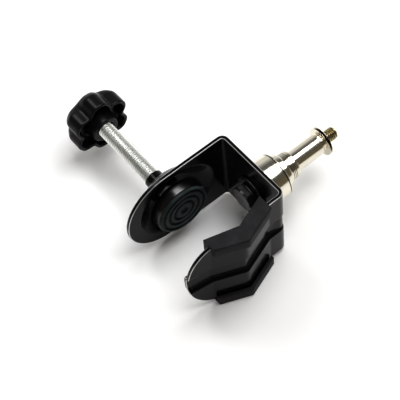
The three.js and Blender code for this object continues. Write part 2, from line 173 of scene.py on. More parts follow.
def mesh_piece(name, points, faces, sharp=35, attributes=None, closed=True):
    """An object from local millimetre points and faces of any number of corners: coincident points are
    welded and faces turned outwards."""
    mesh = bpy.data.meshes.new(name)
    places = (np.asarray(points, float).reshape(-1, 3) + ORIGIN) * MM
    mesh.from_pydata(places.tolist(), [], faces)
    for key, values in (attributes or {}).items():
        layer = mesh.attributes.new(key, "FLOAT", "POINT")
        layer.data.foreach_set("value", np.ravel(values).astype(np.float32))
    shell = bmesh.new()
    shell.from_mesh(mesh)
    bmesh.ops.remove_doubles(shell, verts=shell.verts, dist=2e-6)
    bmesh.ops.dissolve_degenerate(shell, edges=shell.edges, dist=1e-7)
    bmesh.ops.recalc_face_normals(shell, faces=shell.faces)
    open_edges = sum(1 for edge in shell.edges if not edge.is_manifold)
    shell.to_mesh(mesh)
    shell.free()
    if closed and open_edges:
        raise RuntimeError(f"{name} has {open_edges} open edges")
    mesh.shade_smooth()
    mesh.set_sharp_from_angle(angle=math.radians(sharp))
    piece = bpy.data.objects.new(name, mesh)
    bpy.context.scene.collection.objects.link(piece)
    return piece


def settle(piece, sharp=35):
    """Turns a piece's modifiers into its own mesh."""
    graph = bpy.context.evaluated_depsgraph_get()
    mesh = bpy.data.meshes.new_from_object(piece.evaluated_get(graph))
    piece.modifiers.clear()
    piece.data = mesh
    mesh.shade_smooth()
    mesh.set_sharp_from_angle(angle=math.radians(sharp))


def cut(piece, cutter):
    """Takes the cutter's solid out of the piece."""
    hole = piece.modifiers.new("hole", "BOOLEAN")
    hole.object = cutter
    hole.operation = "DIFFERENCE"
    hole.solver = "EXACT"
    settle(piece)
    bpy.data.objects.remove(cutter)


def rounded(corners, steps=5):
    """Outline through corners given as two places and a fillet: each fillet is an arc tangent to both sides.
    A corner without a fillet stays sharp, and so do the first and last."""
    points = [np.array(corners[0][:2], float)]
    for i in range(1, len(corners) - 1):
        at = np.array(corners[i][:2], float)
        fillet = corners[i][2] if len(corners[i]) > 2 else 0
        before = np.array(corners[i - 1][:2], float) - at
        after = np.array(corners[i + 1][:2], float) - at
        reach_before = np.linalg.norm(before)
        reach_after = np.linalg.norm(after)
        if fillet == 0:
            points.append(at)
            continue
        before /= reach_before
        after /= reach_after
        half = math.acos(np.clip(before @ after, -1, 1)) / 2
        tangent = min(fillet / math.tan(half), 0.48 * reach_before, 0.48 * reach_after)
        radius = tangent * math.tan(half)
        bisector = (before + after) / np.linalg.norm(before + after)
        centre = at + bisector * radius / math.sin(half)
        start = at + before * tangent - centre
        end = at + after * tangent - centre
        sweep = math.atan2(start[0] * end[1] - start[1] * end[0], start @ end)
        for angle in np.linspace(0, sweep, steps + 1):
            turn = np.array([[math.cos(angle), -math.sin(angle)], [math.sin(angle), math.cos(angle)]])
            points.append(centre + turn @ start)
    points.append(np.array(corners[-1][:2], float))
    return np.array(points)


def around(axis, radius, station, angle):
    """Points at a radius and station on the screw's axis (X) or the spigot's axis (Y), turned by angle."""
    across = radius * np.cos(angle)
    up = radius * np.sin(angle)
    if axis == "X":
        return np.stack([station + 0 * angle, SCREW_Y + across, up], -1)
    return np.stack([across, station + 0 * angle, up], -1)


def in_grooves(profile, grooves):
    """1 where a profile point lies well down in one of the ring grooves, given as (station, width, rim
    radius, depth), else 0: where painted shade goes."""
    radius, station = profile.T
    inside = np.zeros(len(profile))
    for middle, width, rim, depth in grooves:
        across = np.abs(station - middle) < width / 2
        below = (radius < rim - 0.3 * depth) & (radius > rim - 1.1 * depth)
        inside[across & below] = 1
    return inside


def turned(name, profile, axis, segments=96, sharp=35, closed_loop=False, dark=0):
    """Surface of revolution: a profile of (radius, station) carried round the axis. Dark, for each profile
    point, is kept as an attribute: how much painted shade its finish puts there."""
    angle = np.linspace(0, 2 * np.pi, segments, endpoint=False)[:, None]
    points = around(axis, profile[None, :, 0], profile[None, :, 1], angle)
    faces = grid_faces(segments, len(profile), True, closed_loop)
    return mesh_piece(name, points, faces, sharp, {"dark": np.broadcast_to(dark, points.shape[:2])})


def thread_shape(phase):
    """Depth of a V thread, 0 at its flat crest to 1 at its root, for a phase in turns."""
    saw = np.abs((phase % 1) - 0.5) * 2
    return np.clip(1.24 * saw - 0.12, 0, 1)


def threaded(name, profile, axis, pitch, depth, low, high, segments):
    """Turned surface whose radius drops by depth times the thread's shape between the stations low and high.
    The phase is the station over the pitch plus or minus the angle in turns: a right-hand helix. The share
    cut is kept as the dark attribute, which paints shade in the thread's roots."""
    angle = np.linspace(0, 2 * np.pi, segments, endpoint=False)[:, None]
    radius = profile[None, :, 0]
    station = profile[None, :, 1]
    handed = -1 if axis == "X" else 1
    phase = station / pitch + handed * angle / (2 * np.pi)
    fade = smoothstep((station - low) / pitch) * smoothstep((high - station) / pitch)
    cutting = (station > low) & (station < high) & (radius > depth)
    cut_share = np.where(cutting, thread_shape(phase) * fade, 0)
    points = around(axis, radius - depth * cut_share, station, angle)
    return mesh_piece(name, points, grid_faces(segments, len(profile), True), 40, {"dark": cut_share})


def ring_groove(middle, width, rim, depth):
    """Corners of a small groove turned in a rim, in order of station."""
    fillet = min(width, depth) * 0.2
    floor = rim - depth
    return [(rim, middle - width / 2, fillet), (floor, middle - width * 0.3, fillet),
            (floor, middle + width * 0.3, fillet), (rim, middle + width / 2, fillet)]


def length_so_far(points):
    """Length along a line of points up to each of them."""
    return np.concatenate([[0], np.cumsum(np.linalg.norm(np.diff(points, axis=0), axis=1))])


def split_long_sides(outline, longest, count):
    """The outline with each side longer than the longest split into so many, and its last point left out."""
    shares = np.linspace(0, 1, count, endpoint=False)[:, None]
    parts = []
    for start, side in zip(outline[:-1], np.diff(outline, axis=0)):
        long_side = np.linalg.norm(side) > longest
        parts.append(start + (shares if long_side else shares[:1]) * side)
    return np.vstack(parts)


def with_stations(profile, low, high, spacing):
    """The profile with extra stations between low and high, so that a thread has points to bend."""
    count = int((high - low) / spacing)
    added = np.stack([np.interp(np.linspace(low, high, count), profile[:, 1], profile[:, 0]),
                      np.linspace(low, high, count)], -1)
    below = profile[profile[:, 1] < low]
    above = profile[profile[:, 1] > high]
    return np.concatenate([below, added, above])


# ---------------------------------------------------------------- materials


FINISH = "_finish"  # keeps the finishes apart from the CAD's own materials
# bare steel at the worn edges of the paint, light enough to stand as painted highlight lines along them too
EDGE_STEEL_AND_HIGHLIGHT = (0.72, 0.72, 0.72, 1)
RINGS_ON_X = (1800, 40, 40)  # lathe rings a metre along each axis, on a piece turned round X
RINGS_ON_Y = (40, 1800, 40)


class Signal:
    """A socket in a node tree. Python's operators on it add Math nodes."""

    def __init__(self, tree, socket=None):
        self.tree = tree
        self.socket = socket

    def node(self, kind, settings=None, inputs=None, output=0):
        """Adds a node of a kind: settings first, then values or links for its sockets; gives one output."""
        made = self.tree.nodes.new(kind)
        for key, value in (settings or {}).items():
            setattr(made, key, value)
        for key, value in (inputs or {}).items():
            if isinstance(value, Signal):
                self.tree.links.new(value.socket, made.inputs[key])
            else:
                made.inputs[key].default_value = value
        return Signal(self.tree, made.outputs[output])

    def math(self, operation, first, second):
        """Adds a Math node on two values or sockets."""
        return self.node("ShaderNodeMath", {"operation": operation}, {0: first, 1: second})

    def __add__(self, other):
        return self.math("ADD", self, other)

    def __radd__(self, other):
        return self.math("ADD", other, self)

    def __sub__(self, other):
        return self.math("SUBTRACT", self, other)

    def __rsub__(self, other):
        return self.math("SUBTRACT", other, self)

    def __mul__(self, other):
        return self.math("MULTIPLY", self, other)

    def __rmul__(self, other):
        return self.math("MULTIPLY", other, self)


def span(signal, low, high):
    """0 below low, 1 above high, smooth between."""
    return signal.node("ShaderNodeMapRange", {"interpolation_type": "SMOOTHSTEP"},
                       {"Value": signal, "From Min": low, "From Max": high})


def noise(signal, place, scale, detail, roughness=0.5):
    """Soft noise round a half, at so many cells a metre."""
    return signal.node("ShaderNodeTexNoise", None,
                       {"Vector": place, "Scale": scale, "Detail": detail, "Roughness": roughness})


def attribute(signal, name):
    """A piece's own attribute, which is 0 on a piece that hasn't got it."""
    return signal.node("ShaderNodeAttribute", {"attribute_name": name}, output="Fac")


def stretched(signal, place, scale):
    """Coordinates scaled differently along each axis, for lathe marks and drawn grain."""
    return signal.node("ShaderNodeMapping", None, {"Vector": place, "Scale": scale})


def blended(signal, factor, first, second):
    """Colour between two colours."""
    return signal.node("ShaderNodeMix", {"data_type": "RGBA"}, {0: factor, 6: first, 7: second}, 2)


def bumped(signal, height, distance, strength):
    """The surface's normal, tilted as if it rose by height times the distance in metres."""
    return signal.node("ShaderNodeBump", None, {"Height": height, "Distance": distance, "Strength": strength})


def rgba(tint, gain=1.0):
    """A tint made lighter or darker by a gain, with full alpha."""
    return tuple(min(1.0, c * gain) for c in tint) + (1.0,)


def finish_material(name, constants, varied):
    """A Principled material: constants on its own sockets, and what changes over the surface linked."""
    material = bpy.data.materials.new(name + FINISH)
    material.use_nodes = True
    tree = material.node_tree
    shader = tree.nodes["Principled BSDF"]
    for key, value in constants.items():
        shader.inputs[key].default_value = value
    start = Signal(tree)
    place = start.node("ShaderNodeTexCoord", output="Object")
    for key, signal in varied(start, place).items():
        tree.links.new(signal.socket, shader.inputs[key])
    return material


def paint_finish(name, colours, gloss):
    """Stoved gloss paint with faint orange peel, dust in its gloss, and thin paint along cut edges, where the
    bare steel is also made light enough to paint the highlight lines along those edges.
    """

    def varied(start, place):
        peel = noise(start, place, 420, 2)
        cloud = noise(start, place, 60, 4, 0.6)
        edge = attribute(start, "edge")
        base = blended(start, cloud, rgba(colours.paint, 0.8), rgba(colours.paint, 1.3))
        # bare steel where the paint is worn thin along the cut edges, and painted highlight lines along those
        # edges
        wear_and_edge_highlight = span(edge * (0.75 + 0.5 * noise(start, place, 350, 3)), 0.35, 0.85)
        return {
            "Base Color": blended(start, wear_and_edge_highlight * 0.8, base, EDGE_STEEL_AND_HIGHLIGHT),
            "Roughness": colours.paint_gloss + 0.09 * cloud + 0.1 * wear_and_edge_highlight,
            "Metallic": 0.7 * wear_and_edge_highlight,
            "Normal": bumped(start, peel, 0.00002, 0.5),
        }

    constants = {"Specular IOR Level": gloss, "Coat Weight": 0.06, "Coat Roughness": 0.05}
    return finish_material(name, constants, varied)


def rubber_finish(name, tint, rough, grain):
    """Moulded rubber: fine grain in its surface, a chalky bloom and small scuffs, and painted shade where a
    piece's dark attribute marks its grooves.
    """

    def varied(start, place):
        fine = noise(start, place, grain, 3, 0.6)
        bloom = noise(start, place, 90, 4, 0.65)
        chalky = blended(start, span(bloom, 0.35, 0.75), rgba(tint, 0.8), rgba(tint, 1.55))
        dark = attribute(start, "dark")
        return {
            # painted shade in grooves, from the dark attribute
            "Base Color": blended(start, dark, chalky, rgba(tint, 0.08)),
            "Roughness": rough + 0.16 * bloom,
            "Normal": bumped(start, fine + 0.4 * bloom, 0.00006, 0.6),
        }

    constants = {"Specular IOR Level": 0.14, "Sheen Weight": 0.02, "Sheen Roughness": 0.4}
    return finish_material(name, constants, varied)


def knob_finish(colours):
    """Satin moulded plastic with a spark-eroded grain and slight flow marks."""

    def varied(start, place):
        grain = start.node("ShaderNodeTexVoronoi", None, {"Vector": place, "Scale": 1400.0})
        flow = noise(start, stretched(start, place, (40, 110, 110)), 1, 3)
        return {
            "Base Color": blended(start, flow, rgba(colours.knob, 0.75), rgba(colours.knob, 1.6)),
            "Roughness": 0.22 + 0.16 * flow,
            "Normal": bumped(start, grain + 0.5 * flow, 0.00003, 0.45),
        }

    return finish_material("knob_plastic", {"Specular IOR Level": 0.22}, varied)


def metal_finish(name, tint, rough, marks, groove_shade_tone, shade=0.82):
    """Plated turned metal: fine lathe rings across the axis, soft stains down to the shade, a varied gloss
    and painted shade that darkens the grooves and thread roots to a given tone."""

    def varied(start, place):
        rings = noise(start, stretched(start, place, marks), 1, 2)
        stain = noise(start, place, 70, 4, 0.6)
        clean = blended(start, span(stain, 0.3, 0.8), rgba(tint), rgba(tint, shade))
        dark = attribute(start, "dark")
        # painted shade in the grooves and thread roots, where the piece's dark attribute says, its edge
        # jittered by the stains
        groove_shade_share = span(dark + 0.25 * (stain - 0.5), 0.15, 0.95)
        return {
            "Base Color": blended(start, groove_shade_share, clean, rgba(tint, groove_shade_tone)),
            "Roughness": rough + 0.10 * rings + 0.06 * stain + 0.2 * groove_shade_share,
            "Normal": bumped(start, rings, 0.00001, 0.35),
        }

    return finish_material(name, {"Metallic": 1.0}, varied)


def oxide_finish(colours):
    """Black oxide steel: oily dark with greyer high spots."""

    def varied(start, place):
        cloud = noise(start, place, 130, 4, 0.65)
        return {
            "Base Color": blended(start, cloud, rgba(colours.oxide, 0.7), rgba(colours.oxide, 1.9)),
            "Roughness": 0.2 + 0.16 * cloud,
            "Metallic": 0.35 + 0.2 * cloud,
            "Normal": bumped(start, noise(start, place, 800, 2), 0.00002, 0.4),
        }

    return finish_material("black_bolt", {"Specular IOR Level": 0.6}, varied)


def floor_finish(colours):
    """Pale seamless paper with a very faint mottle."""

    def varied(start, place):
        mottle = noise(start, place, 3, 3)
        return {"Base Color": blended(start, mottle, rgba(colours.floor, 0.985), rgba(colours.floor, 1.01))}

    return finish_material("floor_paper", {"Roughness": 0.9, "Specular IOR Level": 0.1}, varied)


def material(name):
    """The named finish, made the first time that it is asked for."""
    found = bpy.data.materials.get(name + FINISH)
    if found:
        return found
    colours = bpy.context.scene.clamp_colours
    makers = {
        "black_paint": lambda: paint_finish("black_paint", colours, 0.13),
        "black_enamel": lambda: paint_finish("black_enamel", colours, 0.75),
        "jaw_rubber": lambda: rubber_finish("jaw_rubber", colours.rubber, 0.5, 700),
        "pad_rubber": lambda: rubber_finish("pad_rubber", colours.pad, 0.42, 900),
        "knob_plastic": lambda: knob_finish(colours),
        # the fifth number is the tone of the painted shade in grooves and thread roots
        "zinc_steel": lambda: metal_finish("zinc_steel", colours.zinc, 0.3, RINGS_ON_X, 0.7, 0.92),
        "nickel": lambda: metal_finish("nickel", colours.nickel, 0.07, RINGS_ON_Y, 0.02, 0.9),
        "brass": lambda: metal_finish("brass", colours.brass, 0.18, RINGS_ON_Y, 0.3),
        "black_bolt": lambda: oxide_finish(colours),
        "floor_paper": lambda: floor_finish(colours),
    }
    return makers[name]()


def dress(piece, slot, body=None, stands_for=()):
    """Gives a piece its finish, the body that it moves with and the CAD nodes that it stands for."""
    piece.data.materials.clear()
    piece.data.materials.append(material(slot))
    if body:
        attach(piece, body)
    if stands_for:
        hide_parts(*stands_for)


# ---------------------------------------------------------------- strap


JAW_BACK = (30.5, -15.0)
JAW_VERTEX = (39.9, -41.6)
JAW_FRONT = (30.6, -63.6)
LEAF_TIP = (27.6, -82.3)
LEAF_CENTRE_Y = -55.3
LEAF_HALF = 35.0
DISH_Y = -45.0
DISH_HALF_LENGTH = 31.5
DISH_HALF_HEIGHT = 29.0
DISH_NECK = 9.5
CHANNEL_EDGE = 9.0
CHANNEL_FLOOR = 6.8
CHANNEL_FADE = 16.0  # length over which the channel sinks to its full depth
CHANNEL_LEAD = 3  # how far before the web's second bend it starts
DISH_SHARPNESS = 1.2
WEB_HALF = 32.0
NECK_HOLE = 7.3
BOLT_HOLE = 5.4
TOUCH = 0.35  # gap kept between pieces that touch


class PlanPath:
    """The strap's middle line in plan: straight runs joined by arcs, read by its length so far."""

    def __init__(self, corners, step=0.25):
        outline = rounded(corners, steps=14)
        marks = length_so_far(outline)
        self.along = np.arange(0, marks[-1], step)
        self.x = np.interp(self.along, marks, outline[:, 0])
        self.y = np.interp(self.along, marks, outline[:, 1])
        heading = np.unwrap(np.arctan2(np.gradient(self.y), np.gradient(self.x)))
        window = np.ones(5) / 5
        self.heading = np.convolve(np.pad(heading, 2, mode="edge"), window, mode="valid")

    def place(self, along):
        """X and Y at a length so far."""
        return np.interp(along, self.along, self.x), np.interp(along, self.along, self.y)

    def outward(self, along):
        """Unit direction out of the C at a length so far."""
        heading = np.interp(along, self.along, self.heading)
        return -np.sin(heading), np.cos(heading)

    def at_y(self, y, on_arm):
        """Length so far where the plate (or the arm) passes a Y."""
        side = self.x > 0 if on_arm else self.x < 0
        order = np.argsort(self.y[side])
        return np.interp(y, self.y[side][order], self.along[side][order])


def strap_path(sizes):
    """Middle line from the plate's end, across the web and down the jaw arm to the leaf's tip."""
    bend = sizes.bend / MM
    sheet = sizes.sheet / MM
    side = WEB_HALF - sheet / 2
    return PlanPath([
        (-side, STRAP_LOW[1]),
        (-side, -sheet / 2, bend),
        (side, -sheet / 2, bend),
        (*JAW_BACK, 5),
        (*JAW_VERTEX, 4),
        (*JAW_FRONT, 5),
        LEAF_TIP,
    ])


def strap_press(path, sizes, along, z):
    """Outward press of the sheet: a dish on the plate, as a power of the sine of the way in from its oval
    rim to its neck, less a smooth-sided channel on the arm that starts at the web's second bend."""
    x, y = path.place(along)
    rim = np.hypot((y - DISH_Y) / DISH_HALF_LENGTH, z / DISH_HALF_HEIGHT)
    way_in = np.clip((1 - rim) / (1 - DISH_NECK / DISH_HALF_HEIGHT), 0, 1)
    dish = sizes.dish_depth / MM * np.sin(way_in * np.pi / 2) ** DISH_SHARPNESS
    across = smoothstep((CHANNEL_EDGE - np.abs(z)) / (CHANNEL_EDGE - CHANNEL_FLOOR))
    bend_start = path.along[np.argmax(path.x > WEB_HALF - sizes.sheet / MM / 2 - sizes.bend / MM)]
    fade = smoothstep((along - bend_start + CHANNEL_LEAD) / CHANNEL_FADE)
    channel = -sizes.channel_depth / MM * across * fade
    return np.where(x < 1 - WEB_HALF + sizes.sheet / MM / 2, dish, 0) + np.where(x > 0, channel, 0)


def strap_outline(path):
    """Closed outline of the strap's sheet in (length, Z), and for each point the point on its middle line
    that it fans from: straight sides, half a circle round the plate and part of an ellipse round the leaf."""
    circle_at = STRAP_LOW[1] + HALF_STRAP
    leaf_reach = LEAF_CENTRE_Y - LEAF_TIP[1]
    leaf_angle = math.asin(HALF_STRAP / LEAF_HALF)
    leaf_start_y = LEAF_CENTRE_Y - leaf_reach * math.cos(leaf_angle)
    first = path.at_y(circle_at, False)
    last = path.at_y(leaf_start_y, True)
    run = np.linspace(first, last, 200)
    plate_turn = np.linspace(-np.pi / 2, np.pi / 2, 80)[1:-1]
    leaf_turn = np.linspace(leaf_angle, -leaf_angle, 80)[1:-1]
    plate_along = path.at_y(circle_at - HALF_STRAP * np.cos(plate_turn), False)
    leaf_along = path.at_y(LEAF_CENTRE_Y - leaf_reach * np.cos(leaf_turn), True)
    side = np.full_like(run, HALF_STRAP)
    rim_along = np.concatenate([run, leaf_along, run[::-1], plate_along])
    rim_z = np.concatenate([side, LEAF_HALF * np.sin(leaf_turn), -side, HALF_STRAP * np.sin(plate_turn)])
    spine = np.concatenate([run, np.full_like(leaf_along, last), run[::-1], np.full_like(plate_along, first)])
    return np.stack([rim_along, rim_z], -1), np.stack([spine, 0 * spine], -1)


def strap_shell(path, sizes):
    """Sheet with rounded cut edges: across each rim point a section runs from the spine over the inner face,
    round the edge as two quarter arcs, and back over the outer face."""
    half = sizes.sheet / MM / 2
    edge = sizes.edge / MM
    rim, spine = strap_outline(path)
    tangent = np.roll(rim, -1, 0) - np.roll(rim, 1, 0)
    inward = np.stack([-tangent[:, 1], tangent[:, 0]], -1)
    inward /= np.linalg.norm(inward, axis=1, keepdims=True)
    facing = np.sign(np.sum(inward * (spine - rim), axis=1, keepdims=True))
    inward *= np.where(facing == 0, 1, facing)
    # From the spine to the rim, closest together on the channel's sides.
    shares = np.concatenate([np.linspace(0, 0.16, 6), np.linspace(0.18, 0.30, 16), np.linspace(0.32, 1, 34)])
    inset_rim = rim + inward * edge
    flat = spine[:, None] + shares[None, :, None] * (inset_rim - spine)[:, None]
    arc = np.linspace(0, np.pi / 2, 6)
    inset = edge * (1 - np.sin(arc))
    lift = half - edge * (1 - np.cos(arc))
    curve = rim[:, None] + inset[None, 1:, None] * inward[:, None]
    section = np.concatenate([flat, curve, curve[:, ::-1], flat[:, ::-1]], axis=1)
    offset = np.concatenate([np.full(len(shares), -half), -lift[1:], lift[:0:-1], np.full(len(shares), half)])
    # share of edge wear and painted edge highlight, greatest half way round each rounded cut edge
    arris = np.sin(2 * arc)
    near_edge = np.concatenate([0 * shares, arris[1:], arris[:0:-1], 0 * shares])
    along, z = section[..., 0], section[..., 1]
    x, y = path.place(along)
    out_x, out_y = path.outward(along)
    push = offset[None, :] + strap_press(path, sizes, along, z)
    points = np.stack([x + out_x * push, y + out_y * push, z], -1)
    edge_wear_and_highlight = np.broadcast_to(near_edge, along.shape)
    return points, edge_wear_and_highlight


def make_strap(sizes):
    """The pressed strap with its two holes."""
    path = strap_path(sizes)
    points, edge_wear_and_highlight = strap_shell(path, sizes)
    faces = grid_faces(points.shape[0], points.shape[1], True)
    strap = mesh_piece("steel_strap", points, faces, 40, {"edge": edge_wear_and_highlight}, closed=False)
    for axis, radius, low, high in (("X", NECK_HOLE, -70, -20), ("Y", BOLT_HOLE, -9, 6)):
        cut(strap, turned("hole", np.array([(0, low), (radius, low), (radius, high), (0, high)]), axis))
    dress(strap, "black_paint", "frame", ["clamp_frame"])


# ---------------------------------------------------------------- jaw liner


GRIP_SHIFT = np.array([(0, 0), (-0.6, 2), (1.6, 0)])  # of the gripping face at the V's back, vertex and front
GRIP_ROUND = 1.0
LINER_STEPS = 12
LINER_SET_BACK = 0.4  # of the liner's end from the V's back corner, along the slope
LINER_WALL = 4.9
LINER_LIP = 2.6
LIP_REACH = 9  # how far the lips come in over the strap's outer face
LIP_GAP = 0.8
RIM_WALL = 3  # rubber past the strap's edge


def liner_section(sizes):
    """Closed section of the liner as (outward offset, Z): its upper half, from the inner face over the lip to
    the ridge that lies in the strap's channel, and the same mirrored below."""
    half = sizes.sheet / MM / 2
    inside = -half - TOUCH - LINER_WALL
    wall = -half - TOUCH
    lip_in = half + LIP_GAP
    lip_out = lip_in + LINER_LIP
    groove = wall - sizes.channel_depth / MM - 0.2
    upper = [
        (inside, HALF_LINER, GRIP_ROUND),
        (lip_out, HALF_LINER, 1.1),
        (lip_out, HALF_LINER - LIP_REACH, 0.7),
        (lip_in, HALF_LINER - LIP_REACH, 0.5),
        (lip_in, HALF_LINER - RIM_WALL, 0.5),
        (wall, HALF_LINER - RIM_WALL, 0.4),
        (wall, CHANNEL_EDGE + 1.2, 0.4),
        (groove, CHANNEL_FLOOR + 1.2, 0.4),
    ]
    lower = [(n, -z, fillet) for n, z, fillet in reversed(upper)]
    start = (inside, 0)
    outline = rounded([start, *upper, *lower, start], steps=4)
    return outline[:-1]


def liner_stations():
    """Plan places and the direction in which a unit offset moves: ends cut along X, a mitre at the vertex."""
    corners = np.array([JAW_BACK, JAW_VERTEX, JAW_FRONT])
    slopes = np.diff(corners, axis=0)
    slopes /= np.linalg.norm(slopes, axis=1, keepdims=True)
    across = np.stack([-slopes[:, 1], slopes[:, 0]], -1)
    mitre = across.sum(0) / np.linalg.norm(across.sum(0))
    mitre /= mitre @ across[0]
    ends = np.array([[1 / across[0, 0], 0], [1 / across[1, 0], 0]])
    places = np.array([corners[0] + slopes[0] * LINER_SET_BACK, corners[1], corners[2]])
    return places, np.array([ends[0], mitre, ends[1]])


def make_liner(sizes):
    """The section carried along the two slopes of the V, closed at both ends and its arrises rounded. Each
    point is its station's place, plus its offset times the station's direction, plus the grip's shift."""
    section = liner_section(sizes)
    places, directions = liner_stations()
    rows = []
    for slope in (0, 1):
        for way in np.linspace(0, 1, LINER_STEPS, endpoint=False):
            row = [values[slope] * (1 - way) + values[slope + 1] * way
                   for values in (places, directions, GRIP_SHIFT)]
            rows.append(row)
    rows.append((places[2], directions[2], GRIP_SHIFT[2]))
    place = np.array([row[0] for row in rows])[:, None]
    direction = np.array([row[1] for row in rows])[:, None]
    grip = np.array([row[2] for row in rows])[:, None]
    on_grip_face = section[None, :, :1] < section[:, 0].min() + 2 * GRIP_ROUND
    plan = place + direction * section[None, :, :1] + grip * on_grip_face
    points = np.concatenate([plan, np.broadcast_to(section[None, :, 1:], plan[..., :1].shape)], -1)
    liner = mesh_piece("jaw_liner_moulding", points, swept_faces(len(rows), len(section)))
    arris = liner.modifiers.new("arris", "BEVEL")
    arris.width = 0.45 * MM
    arris.segments = 3
    arris.limit_method = "ANGLE"
    arris.angle_limit = math.radians(50)
    settle(liner, 50)
    dress(liner, "jaw_rubber", "frame", ["jaw_liner"])


# ---------------------------------------------------------------- screw


BALL_X = -28.0
BALL_RADIUS = 5.0
NECK_RADIUS = 3.4
NECK_START = -36.7
SCREW_THREAD_DEPTH = 1.05
BUSH_SEAT = -42.2  # where the bush's flange bears on the dish's neck
BUSH_BORE = 6.15
BUSH_SLEEVE = 6.9
BUSH_FLANGE = 11


def make_bush():
    """Flanged bush in the neck of the dish: a closed profile turned round the screw's axis."""
    low, high = local_box("screw_bush")
    start = (BUSH_BORE, low[0] + 0.6)
    profile = rounded([
        start,
        (BUSH_SLEEVE, low[0], 0.35),
        (BUSH_SLEEVE, BUSH_SEAT, 0.5),
        (BUSH_FLANGE, BUSH_SEAT, 0.4),
        (BUSH_FLANGE, high[0], 0.5),
        (BUSH_BORE + 0.15, high[0], 0.3),
        (BUSH_BORE, high[0] - 0.6),
    ])
    bush = turned("screw_bush_turned", np.vstack([profile, [start]]), "X", 112)
    dress(bush, "black_paint", "frame", ["screw_bush"])


def make_screw(sizes):
    """Threaded screw with a neck and a ball: the ball's profile is an arc from the neck to its pole."""
    start = SCREW_LOW[0]
    radius = SCREW_HIGH[2]
    pitch = sizes.screw_pitch / MM
    thread_start = start + 2
    thread_end = NECK_START - 0.2
    angle = np.linspace(math.pi - math.asin(NECK_RADIUS / BALL_RADIUS), 0, 24)
    ball = np.stack([BALL_RADIUS * np.sin(angle), BALL_X + BALL_RADIUS * np.cos(angle)], -1)
    shank = np.array([
        (0, start),
        (radius - 1, start),
        (radius, start + 1),
        (radius, NECK_START),
        (NECK_RADIUS, NECK_START + 1.5),
    ])
    profile = np.vstack([with_stations(shank, thread_start, thread_end, pitch / 11), ball])
    screw = threaded("clamp_screw_threaded", profile, "X", pitch, SCREW_THREAD_DEPTH,
                     thread_start, thread_end, 72)
    dress(screw, "zinc_steel", "screw", ["clamp_screw"])


def make_thrust_washer():
    """Washer on the screw's neck, behind the pad."""
    bore, rim = 3.9, 5.6
    low, high = local_box("thrust_washer")
    start = (bore, low[0] + 0.3)
    profile = rounded([start, (bore, low[0], 0.2), (rim, low[0], 0.3), (rim, high[0], 0.3),
                       (bore, high[0], 0.2), start], 3)
    washer = turned("thrust_washer_turned", profile, "X", 64)
    dress(washer, "zinc_steel", "thrust", ["thrust_washer"])


# ---------------------------------------------------------------- knob


KNOB_HUB_RISE = 4.0  # of the hub past the lobes' face
KNOB_SOCKET = 8.05
KNOB_BORE = 6.3
KNOB_BORE_END = -111.0
KNOB_SEGMENTS = 288
CAP_RADIUS = 7.6


def knob_profile():
    """Closed loop of (radius, station, share of the lobes) from the socket over the dome and rim, down into
    the lobed hollow, up the hub and back through the bore."""
    back = KNOB_LOW[0]
    hub = KNOB_HIGH[0]
    face = hub - KNOB_HUB_RISE
    outer = KNOB_HIGH[2] - 0.05
    corners = [
        (KNOB_SOCKET, back + 0.7, 0, 0),
        (8.5, back + 0.15, 0.4, 0),
        (15.5, back + 0.25, 8, 0.05),
        (outer - 3.2, back + 2.6, 6, 0.55),
        (outer, back + 7.4, 6, 0.95),
        (outer, face, 2.2, 1),
        (20.6, face, 1.6, 1),
        (19.2, face - 7.4, 2.2, 0.9),
        (12.2, face - 8.2, 1.2, 0.15),
        (10.2, hub, 0.9, 0),
        (7.0, hub, 0.3, 0),
        (KNOB_BORE, hub - 0.7, 0.2, 0),
        (KNOB_BORE, KNOB_BORE_END, 0, 0),
        (KNOB_SOCKET, KNOB_BORE_END, 0, 0),
        (KNOB_SOCKET, back + 0.7, 0, 0),
    ]
    outline = split_long_sides(rounded([corner[:3] for corner in corners], 8), 1.5, 6)
    marks = length_so_far(np.array([corner[:2] for corner in corners]))
    gone = length_so_far(outline)
    gone *= marks[-1] / (gone[-1] + np.linalg.norm(outline[0] - outline[-1]))
    lobe_share = np.interp(gone, marks, [corner[3] for corner in corners])
    return outline, lobe_share


def make_knob(sizes):
    """Knob surface: the profile's radius less the lobe depth times a hollow that repeats round the axis; the
    hollow is half one less a cosine, sharpened so that lobes are broad and hollows narrow."""
    outline, lobe_share = knob_profile()
    angle = np.linspace(0, 2 * np.pi, KNOB_SEGMENTS, endpoint=False)[:, None]
    wave = np.cos(sizes.lobes * (angle - sizes.knob_turn))
    hollow = ((1 - wave) / 2) ** 1.7
    radius = outline[None, :, 0] - sizes.lobe_depth / MM * hollow * lobe_share[None, :]
    points = around("X", radius, outline[None, :, 1], angle)
    knob = mesh_piece("knob_moulding", points, grid_faces(KNOB_SEGMENTS, len(outline), True, True), 50)
    dress(knob, "knob_plastic", "screw", ["knob_body"])


def make_knob_cap():
    """Low domed plug in the knob's socket."""
    low, high = local_box("knob_cap")
    profile = rounded([(0, low[0]), (CAP_RADIUS - 0.7, low[0] + 0.15, 0.8), (CAP_RADIUS, low[0] + 1.1, 0.6),
                       (CAP_RADIUS, high[0], 0.3), (0, high[0])])
    cap = turned("knob_cap_moulding", profile, "X", 72)
    dress(cap, "knob_plastic", "screw", ["knob_cap"])


# ---------------------------------------------------------------- pad


SOCKET_RADIUS = 5.5
SOCKET_MOUTH = 4.4
RUBBER_RADIUS = RUBBER_HIGH[2] - 0.15
RETAINER_FLOOR = BALL_X + 1.6
PAD_RINGS = (17.0, 12.4, 7.8)  # middle radius of each ring groove in the rubber
RING_DEPTH = 1.3
DIMPLE_DEPTH = 0.9
PAD_HOLLOW = 3.3  # depth of the hollow in the rubber's back


